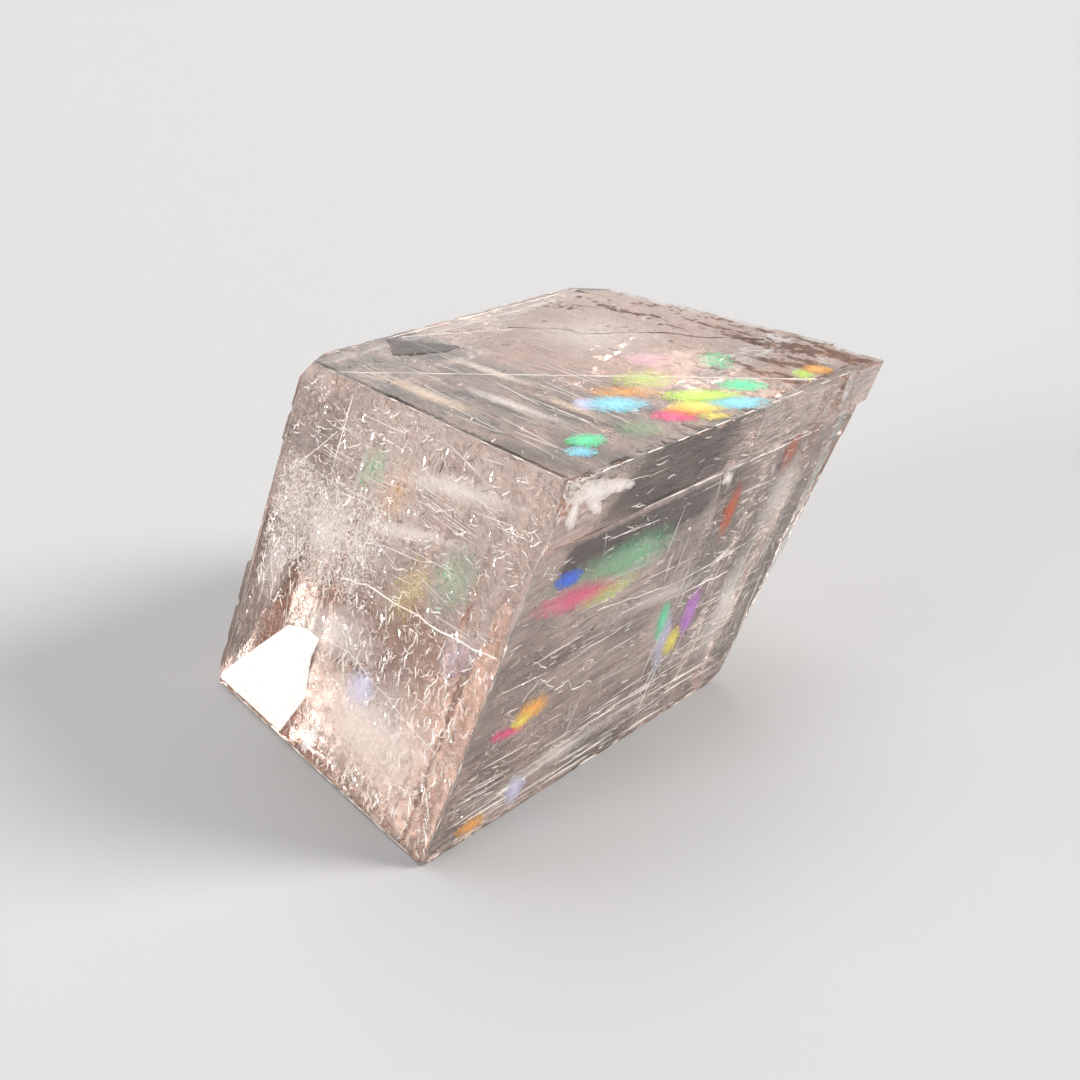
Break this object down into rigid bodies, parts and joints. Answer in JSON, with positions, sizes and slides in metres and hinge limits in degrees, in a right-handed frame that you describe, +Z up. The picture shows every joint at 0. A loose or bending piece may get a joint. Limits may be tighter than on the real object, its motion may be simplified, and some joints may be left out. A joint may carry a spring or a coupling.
{
  "type": "optical calcite rhomb",
  "caption": "Clear cleavage rhomb of optical calcite with faint pinkish tint, stepped end face, chipped edges and inner veils, resting on one face.",
  "frame": {"origin": "centre of the resting face, on the surface the crystal stands on", "axes": "+X along the longer edge of the resting face, +Z up out of it; the front face looks towards -Y and the crystal leans over towards -Y"},
  "size_m": [0.1067, 0.0931, 0.0642],
  "materials": {
    "clear_calcite": "clear, faintly pinkish, glossy cleavage faces with silky inner veils"
  },
  "bodies": {
    "root": {"calcite_rhomb": "clear_calcite"}
  },
  "joints": []
}
